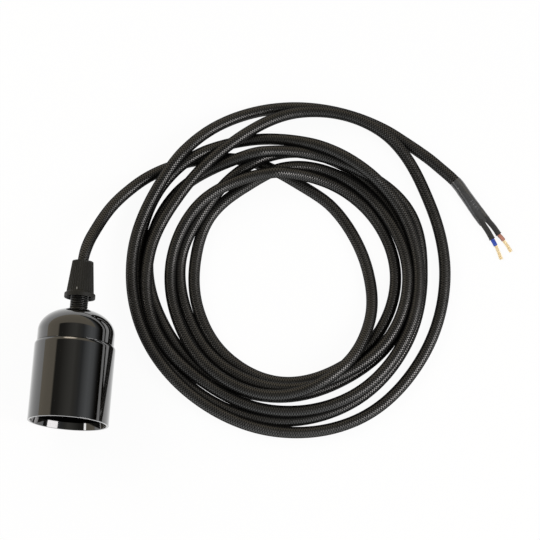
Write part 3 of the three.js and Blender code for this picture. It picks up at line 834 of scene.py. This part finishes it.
def make_strands(label, routes, material):
    """Fine copper wires in two layers round a middle one, twisted and a little splayed at the tip."""
    line = along([routes["insulation"][-1], *routes["strands"]], WIRE_RING_STEP)
    distance = distances_along(line)
    tip = smoothstep(distance, SPLAY_START * distance[-1], distance[-1])
    across, up = sideways(line)

    def wire_section(distance, angle):
        return round_section(WIRE_RADIUS, angle)

    points, faces = [], []
    for layer, (count, wires_out) in enumerate(WIRE_LAYERS):
        for wire in range(count):
            turn = 2 * math.pi * (wire / count + distance / STRAND_LAY) + LAYER_TURN * layer
            own_splay = 1 + SPLAY_SPREAD * math.sin(wire * SPLAY_PACE + layer)
            reach = wires_out * WIRE_RADIUS * (1 + WIRE_SPLAY * own_splay * tip)
            centre = line + (reach * np.cos(turn))[:, None] * across + (reach * np.sin(turn))[:, None] * up
            centre[:, 2] = np.maximum(centre[:, 2], WIRE_RADIUS)
            cut = len(centre) - int(CUT_POINTS * (1 + math.sin(wire * CUT_PACE + layer)))
            wire_points, wire_faces = swept(centre[:cut], WIRE_SIDES, wire_section)
            faces.extend(tuple(corner + len(points) for corner in face) for face in wire_faces)
            points.extend(wire_points)
    piece = make_piece(label + "_core_strands", points, faces, material)
    return settle_in(piece, "copper", label + "_strands")


# Materials

def feed(tree, socket, value):
    """Sets an input to a number or a colour, or links it where value is another node's output."""
    if isinstance(value, bpy.types.NodeSocket):
        tree.links.new(value, socket)
    else:
        socket.default_value = value


def add_node(tree, kind, values=(), **settings):
    """A new node with its settings, and its inputs fed by name or number."""
    made = tree.nodes.new("ShaderNode" + kind)
    for key, value in settings.items():
        setattr(made, key, value)
    for socket, value in dict(values).items():
        feed(tree, made.inputs[socket], value)
    return made


def calc(tree, operation, *values):
    return add_node(tree, "Math", enumerate(values), operation=operation).outputs[0]


def vector(tree, operation, *values):
    return add_node(tree, "VectorMath", enumerate(values), operation=operation).outputs


def mix_shaders(tree, share, first, second):
    values = {0: share, 1: first.outputs[0], 2: second.outputs[0]}
    return add_node(tree, "MixShader", values).outputs[0]


def object_place(tree):
    return add_node(tree, "TexCoord").outputs["Object"]


def noise(tree, scale, detail=3.0, stretch=None):
    """Noise in the object's own millimetres, stretched by three factors if asked."""
    where = object_place(tree)
    if stretch is not None:
        where = add_node(tree, "Mapping", {"Vector": where, "Scale": stretch}).outputs[0]
    values = {"Vector": where, "Scale": scale / MM, "Detail": detail, "Roughness": NOISE_ROUGHNESS}
    return add_node(tree, "TexNoise", values).outputs["Fac"]


def remap(tree, value, low, high, from_low=0.3, from_high=0.7):
    """A value that runs from low to high while its source runs from from_low to from_high."""
    values = {"Value": value, "From Min": from_low, "From Max": from_high, "To Min": low, "To Max": high}
    return add_node(tree, "MapRange", values).outputs["Result"]


def step_at(tree, value, start, edge):
    """0 where a value is under start and 1 where it is over it, with a soft edge."""
    return remap(tree, value, 0, 1, from_low=start - edge, from_high=start + edge)


def blend_colours(tree, share, low, high):
    values = {0: share, 6: low, 7: high}
    return add_node(tree, "Mix", values, data_type="RGBA").outputs[2]


def new_material(name, **constants):
    """A principled material and its shader, with constant inputs set by name."""
    material = bpy.data.materials.new(name)
    material.use_nodes = True
    shader = material.node_tree.nodes["Principled BSDF"]
    for key, value in constants.items():
        shader.inputs[key.replace("_", " ")].default_value = value
    return material, material.node_tree, shader


def mix_painted_shade(tree, shader, share):
    """Mixes the shader with a flat black by a share: painted shade."""
    black = add_node(tree, "BsdfDiffuse", {"Color": SHADE_BLACK})
    feed(tree, tree.nodes["Material Output"].inputs[0], mix_shaders(tree, share, shader, black))


def from_axis(tree):
    """Distance from the holder's axis, in metres."""
    flat = vector(tree, "MULTIPLY", object_place(tree), (1, 0, 1))[0]
    return vector(tree, "DISTANCE", flat, (0, 0, SKIRT_RADIUS * MM))["Value"]


def set_bump(tree, shader, height, distance, strength=1.0):
    values = {"Height": height, "Distance": distance * MM, "Strength": strength}
    feed(tree, shader.inputs["Normal"], add_node(tree, "Bump", values).outputs[0])


def set_colour(tree, shader, share, colours):
    """Base colour between the two colours, by a share."""
    feed(tree, shader.inputs["Base Color"], blend_colours(tree, share, *colours))


def set_finish(tree, shader, value, low, high):
    """Roughness between low and high, by a noise."""
    feed(tree, shader.inputs["Roughness"], remap(tree, value, low, high))


def near(tree, centre, reach):
    """1 around a point of the object, fading out at the edge of an egg of three half widths."""
    offset = vector(tree, "SUBTRACT", object_place(tree), [place * MM for place in centre])[0]
    share = vector(tree, "DIVIDE", offset, [half * MM for half in reach])[0]
    return remap(tree, vector(tree, "LENGTH", share)["Value"], 1, 0, from_low=GLINT_FADE, from_high=1)


def inner_shade_share(tree):
    """1 on the holder's inner faces beyond the mouth's glossy band, where painted shade, a flat black, is
    mixed in.
    """
    depth = add_node(tree, "SeparateXYZ", {0: object_place(tree)}).outputs[1]
    edge = SHADE_EDGE * MM
    start = (SHADE_START_DEPTH - holder_length / 2) * MM
    end = (SKIRT_LENGTH - SHADE_START_DEPTH - holder_length / 2) * MM
    beyond = calc(tree, "MULTIPLY", step_at(tree, depth, start, edge), calc(tree, "LESS_THAN", depth, end))
    inside = calc(tree, "LESS_THAN", from_axis(tree), LIP_INNER_RADIUS * MM + edge)
    return calc(tree, "MULTIPLY", beyond, inside)


def bakelite_material():
    """Polished moulded black with faint flow marks and an uneven polish, a painted glint of pale colour on
    the rim, and painted shade, a flat black, inside beyond the mouth's glossy band.
    """
    material, tree, shader = new_material(
        "bakelite", IOR=1.58, Coat_Weight=1.0, Coat_IOR=1.58, Coat_Roughness=0.03,
    )
    flow = noise(tree, 0.09, detail=4.0, stretch=(1, 0.35, 1))
    moulded = blend_colours(tree, remap(tree, flow, 0, 1), *BAKELITE_COLOURS)
    # Painted glint: pale colour on the rim where a highlight shows
    set_colour(tree, shader, near(tree, RIM_GLINT_PLACE, RIM_GLINT_REACH), (moulded, RIM_GLINT_COLOUR))
    set_finish(tree, shader, noise(tree, 0.6, detail=5.0), 0.05, 0.1)
    set_bump(tree, shader, noise(tree, 0.12, detail=2.0), distance=0.02, strength=0.12)
    # Painted shade: a flat black mixed in on the inner faces beyond the mouth's glossy band
    mix_painted_shade(tree, shader, inner_shade_share(tree))
    return material


def plastic_material():
    """Matt black moulded nylon with a fine grain, and a painted glint of pale colour on the pip."""
    material, tree, shader = new_material("plastic", IOR=1.45)
    grain = noise(tree, 2.2, detail=6.0)
    moulded = blend_colours(tree, remap(tree, grain, 0, 1), *PLASTIC_COLOURS)
    pip = (
        NUT_BOTTOM_RADIUS * math.sin(NUT_PIP_TURN),
        nut_bottom + NUT_PIP_HEIGHT - holder_length / 2,
        NUT_BOTTOM_RADIUS * math.cos(NUT_PIP_TURN) + SKIRT_RADIUS,
    )
    # Painted glint: pale colour on the pip where a highlight shows
    set_colour(tree, shader, near(tree, pip, PIP_GLINT_REACH), (moulded, PIP_GLINT_COLOUR))
    set_finish(tree, shader, noise(tree, 0.5), 0.5, 0.62)
    set_bump(tree, shader, grain, distance=0.05, strength=0.6)
    return material


def nipple_material():
    """Black plastic with a low gloss, and painted shade, a flat black, in the thread's roots."""
    material, tree, shader = new_material("nipple_plastic", IOR=1.6)
    grain = noise(tree, 1.8, detail=4.0)
    set_colour(tree, shader, remap(tree, grain, 0, 1), NIPPLE_COLOURS)
    set_finish(tree, shader, noise(tree, 0.7), 0.3, 0.4)
    set_bump(tree, shader, grain, distance=0.015, strength=0.4)
    root = (NIPPLE_RADIUS - NIPPLE_THREAD_DEPTH) * MM
    crest = (NIPPLE_RADIUS - NIPPLE_CREST) * MM
    # Painted shade: a flat black mixed in towards the thread's roots
    mix_painted_shade(tree, shader, remap(tree, from_axis(tree), 1, 0, from_low=root, from_high=crest))
    return material


def weave(tree, columns, stitch):
    """Height of a braid from 0 to 1, and which way its top yarn runs, from a tube's UVs."""
    uv = add_node(tree, "UVMap", uv_map="length_and_turn").outputs[0]
    split = add_node(tree, "SeparateXYZ", {0: uv})
    around = calc(tree, "MULTIPLY", split.outputs[0], columns)
    forward = calc(tree, "DIVIDE", split.outputs[1], stitch)
    first = calc(tree, "ADD", around, forward)
    second = calc(tree, "SUBTRACT", around, forward)
    first_bow, second_bow = (bow(tree, value) for value in (first, second))
    cells = calc(tree, "ADD", calc(tree, "FLOOR", first), calc(tree, "FLOOR", second))
    way = calc(tree, "FLOORED_MODULO", cells, 2.0)
    across = chosen(tree, way, first_bow, second_bow)
    length = chosen(tree, way, second_bow, first_bow)
    sunk_across = calc(tree, "MULTIPLY", across, BOW_ACROSS)
    sunk_along = calc(tree, "MULTIPLY", length, BOW_ALONG)
    return calc(tree, "SUBTRACT", 1.0, calc(tree, "ADD", sunk_across, sunk_along)), way


def bow(tree, value):
    """0 in the middle of each whole step of a value, and 1 at both its ends."""
    centred = calc(tree, "SUBTRACT", calc(tree, "MULTIPLY", calc(tree, "FRACT", value), 2.0), 1.0)
    return calc(tree, "MULTIPLY", centred, centred)


def chosen(tree, choice, one, other):
    """One value where choice is 1, and the other where it is 0."""
    rest = calc(tree, "SUBTRACT", 1.0, choice)
    return calc(tree, "ADD", calc(tree, "MULTIPLY", one, choice), calc(tree, "MULTIPLY", other, rest))


def braid_material():
    """Black glossy braid: short stitches with painted shade, a darker colour, in the furrows between them,
    unevenly dyed.

    It is shaded as a dark metal with dark edges, because the fine yarn shows no white rim against light.
    """
    material, tree, shader = new_material("braid", Metallic=0.92, Specular_Tint=BRAID_EDGE_TINT)
    height, way = weave(tree, BRAID_COLUMNS, BRAID_STITCH)
    # Painted shade: the colour darkens from the stitch tops into the furrows
    top = remap(tree, height, 0, 1, from_low=0.36, from_high=0.86)
    dye = remap(tree, noise(tree, 0.06), 0.85, 1.15)
    set_colour(tree, shader, calc(tree, "MULTIPLY", top, dye), BRAID_FURROW_SHADE_COLOURS)
    by_way = remap(tree, way, 0.26, 0.32, from_low=0, from_high=1)
    furrow = remap(tree, height, 0.4, 0, from_low=0.2, from_high=0.7)
    feed(tree, shader.inputs["Roughness"], calc(tree, "ADD", by_way, furrow))
    fuzz = calc(tree, "MULTIPLY", noise(tree, 3.5, detail=2.0), BRAID_FUZZ)
    set_bump(tree, shader, calc(tree, "ADD", height, fuzz), BRAID_DEPTH)
    return material


def inside_braid_material():
    """Dull braid of the cord's end inside the grip."""
    material, tree, shader = new_material("braid_inside", Roughness=0.8)
    grain = noise(tree, 1.1, stretch=(1, 0.5, 1))
    set_colour(tree, shader, remap(tree, grain, 0, 1), INSIDE_BRAID_COLOURS)
    set_bump(tree, shader, grain, distance=0.2)
    return material


def fibre_material():
    """Matt black woven glass sleeving, with painted shade, a darker colour, in the weave's furrows."""
    material, tree, shader = new_material("fibre", Roughness=0.75, Sheen_Weight=0.2)
    height, _ = weave(tree, FIBRE_COLUMNS, FIBRE_STITCH)
    # Painted shade: the colour darkens from the weave's tops into its furrows
    set_colour(tree, shader, height, FIBRE_FURROW_SHADE_COLOURS)
    set_bump(tree, shader, height, FIBRE_DEPTH)
    return material


def shrink_material():
    """Dark grey satin sleeve with soft ripples."""
    material, tree, shader = new_material("shrink", IOR=1.8)
    ripple = noise(tree, 0.35)
    set_colour(tree, shader, remap(tree, ripple, 0, 1), SHRINK_COLOURS)
    set_finish(tree, shader, noise(tree, 0.4), 0.2, 0.27)
    set_bump(tree, shader, ripple, distance=0.12, strength=0.2)
    return material


def insulation_material(name, colours):
    """Coloured insulation of a core, faintly streaked."""
    material, tree, shader = new_material(name, IOR=1.48)
    streak = noise(tree, 0.8)
    set_colour(tree, shader, remap(tree, streak, 0, 1), colours)
    set_finish(tree, shader, streak, 0.3, 0.42)
    set_bump(tree, shader, streak, distance=0.03, strength=0.4)
    return material


def metal_material(name, colours, rough_low, rough_high, scale, metallic=1.0):
    """Metal with uneven tarnish and fine drawing marks."""
    material, tree, shader = new_material(name, Metallic=metallic)
    tarnish = noise(tree, scale, detail=4.0)
    set_colour(tree, shader, remap(tree, tarnish, 0, 1), colours)
    set_finish(tree, shader, tarnish, rough_low, rough_high)
    marks = noise(tree, scale * 4, detail=2.0, stretch=(1, 0.2, 1))
    set_bump(tree, shader, marks, distance=0.02, strength=0.4)
    return material


def steatite_material():
    """Pale unglazed ceramic, faintly speckled."""
    material, tree, shader = new_material("steatite", Roughness=0.55)
    specks = noise(tree, 1.4, detail=6.0)
    set_colour(tree, shader, remap(tree, specks, 0, 1), STEATITE_COLOURS)
    set_bump(tree, shader, specks, distance=0.05, strength=0.5)
    return material


def make_materials():
    return {
        "bakelite": bakelite_material(),
        "plastic": plastic_material(),
        "nipple": nipple_material(),
        "braid": braid_material(),
        "braid_inside": inside_braid_material(),
        "fibre": fibre_material(),
        "shrink": shrink_material(),
        "blue": insulation_material("blue", BLUE_COLOURS),
        "brown": insulation_material("brown", BROWN_COLOURS),
        "copper": metal_material("copper", COPPER_COLOURS, 0.4, 0.55, scale=0.9, metallic=0.45),
        "brass": metal_material("brass", BRASS_COLOURS, 0.22, 0.4, scale=0.5),
        "steel": metal_material("steel", STEEL_COLOURS, 0.25, 0.42, scale=0.5),
        "steatite": steatite_material(),
    }


def dress_hidden_parts(materials):
    """Materials of the model's own pieces inside the holder, which keep their shape."""
    for look, names in HIDDEN_LOOKS.items():
        for name in names:
            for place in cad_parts[name].material_slots:
                place.material = materials[look]


# Stage

def make_floor():
    """A plain white table. The camera and reflections see it white, with part of the object's shadow."""
    material = bpy.data.materials.new("floor")
    material.use_nodes = True
    tree = material.node_tree
    tree.nodes.clear()
    lit = add_node(tree, "BsdfDiffuse", {"Color": FLOOR_COLOUR})
    bright = add_node(tree, "Emission", {"Strength": 1.0})
    path = add_node(tree, "LightPath")
    seen = calc(tree, "MAXIMUM", path.outputs["Is Glossy Ray"], path.outputs["Is Transmission Ray"])
    seen = calc(tree, "MAXIMUM", path.outputs["Is Camera Ray"], seen)
    glow = calc(tree, "MULTIPLY", seen, FLOOR_GLOW)
    add_node(tree, "OutputMaterial", {0: mix_shaders(tree, glow, lit, bright)})
    bpy.ops.mesh.primitive_plane_add(size=FLOOR_SIZE * MM, location=(0, 0, -FLOOR_DROP * MM))
    floor = bpy.context.object
    floor.name = "floor"
    floor.data.materials.append(material)


def make_world():
    """A plain room: white to the camera, and to the object a dim ceiling between pale walls."""
    world = bpy.data.worlds.new("room")
    bpy.context.scene.world = world
    world.use_nodes = True
    tree = world.node_tree
    tree.nodes.clear()
    way = add_node(tree, "TexCoord").outputs["Generated"]
    split = add_node(tree, "SeparateXYZ", {0: way})
    across, along_holder, up = split.outputs
    steep = calc(tree, "MAXIMUM", up, LEAST_RISE)
    angle = calc(tree, "MULTIPLY", calc(tree, "ARCTAN2", across, steep), 180 / math.pi)
    ramp = add_node(tree, "ValToRGB", {0: remap(tree, angle, 0, 1, from_low=-90, from_high=90)})
    elements = ramp.color_ramp.elements
    while len(elements) < len(ROOM_ACROSS):
        elements.new(1.0)
    for element, (degrees, level, colour) in zip(elements, ROOM_ACROSS):
        element.position = (degrees + 90) / 180
        element.color = (*(channel * level for channel in colour), 1)
    room = ramp.outputs[0]
    open_side = wall_share(tree, calc(tree, "DIVIDE", across, steep), -RIGHT_SIDE_LEAN, -1)
    lean = calc(tree, "DIVIDE", along_holder, steep)
    back = calc(tree, "MULTIPLY", wall_share(tree, lean, BACK_WALL_LEAN, 1), open_side)
    front = wall_share(tree, lean, FRONT_WALL_LEAN, -1)
    for share, level, colour in ((back, BACK_WALL_LEVEL, WARM), (front, FRONT_WALL_LEVEL, COOL)):
        room = blend_colours(tree, share, room, (*(channel * level for channel in colour), 1))
    lit = add_node(tree, "Background", {"Color": room, "Strength": 1.0})
    white = add_node(tree, "Background", {"Color": WHITE, "Strength": 1.0})
    path = add_node(tree, "LightPath")
    seen = calc(tree, "MAXIMUM", path.outputs["Is Camera Ray"], path.outputs["Is Transmission Ray"])
    add_node(tree, "OutputWorld", {0: mix_shaders(tree, seen, lit, white)})


def wall_share(tree, lean, start, sign):
    """1 where a direction leans further than start to that side, with a soft edge."""
    return step_at(tree, calc(tree, "MULTIPLY", lean, float(sign)), start, WALL_EDGE)


def add_lamp(name, place, size, power, colour, in_reflections):
    """A flat rectangular lamp that faces the holder."""
    data = bpy.data.lights.new(name, "AREA")
    data.shape = "RECTANGLE"
    data.size, data.size_y = (length * MM for length in size)
    data.energy = power
    data.color = colour
    lamp = new_object(name, data)
    lamp.location = Vector(place) * MM
    lamp.rotation_euler = Vector(place).to_track_quat("Z", "Y").to_euler()
    lamp.visible_glossy = in_reflections


def make_camera():
    """The camera above the object, with the picture's sideways turned by CAMERA_TURN."""
    flat = Vector((-math.sin(CAMERA_TURN), math.cos(CAMERA_TURN), 0))
    ahead = flat * math.cos(CAMERA_ELEVATION) - Vector((0, 0, math.sin(CAMERA_ELEVATION)))
    data = bpy.data.cameras.new("camera")
    data.angle = CAMERA_ANGLE
    data.sensor_fit = "HORIZONTAL"
    data.clip_end = CAMERA_CLIP_END * MM
    camera = new_object("camera", data)
    camera.location = (Vector(CAMERA_TARGET) - ahead * CAMERA_DISTANCE) * MM
    right = Vector((math.cos(CAMERA_TURN), math.sin(CAMERA_TURN), 0))
    up = right.cross(ahead)
    camera.rotation_euler = Matrix((right, up, -ahead)).transposed().to_euler()
    bpy.context.scene.camera = camera


def make_stage():
    bpy.context.scene.view_settings.view_transform = "Standard"
    make_floor()
    make_world()
    for lamp in LAMPS:
        add_lamp(*lamp)
    make_camera()


def main():
    make_stage()
    materials = make_materials()
    sleeve = make_shrink_sleeve(materials["shrink"])
    blue = make_core("blue", BLUE_CORE_ROUTES, materials)
    brown = make_core("brown", BROWN_CORE_ROUTES, materials)
    make_cord(materials["braid"])
    make_skirt(materials["bakelite"])
    make_dome(materials["bakelite"])
    make_nut(materials["plastic"])
    make_nipple(materials["nipple"])
    dress_hidden_parts(materials)


main()
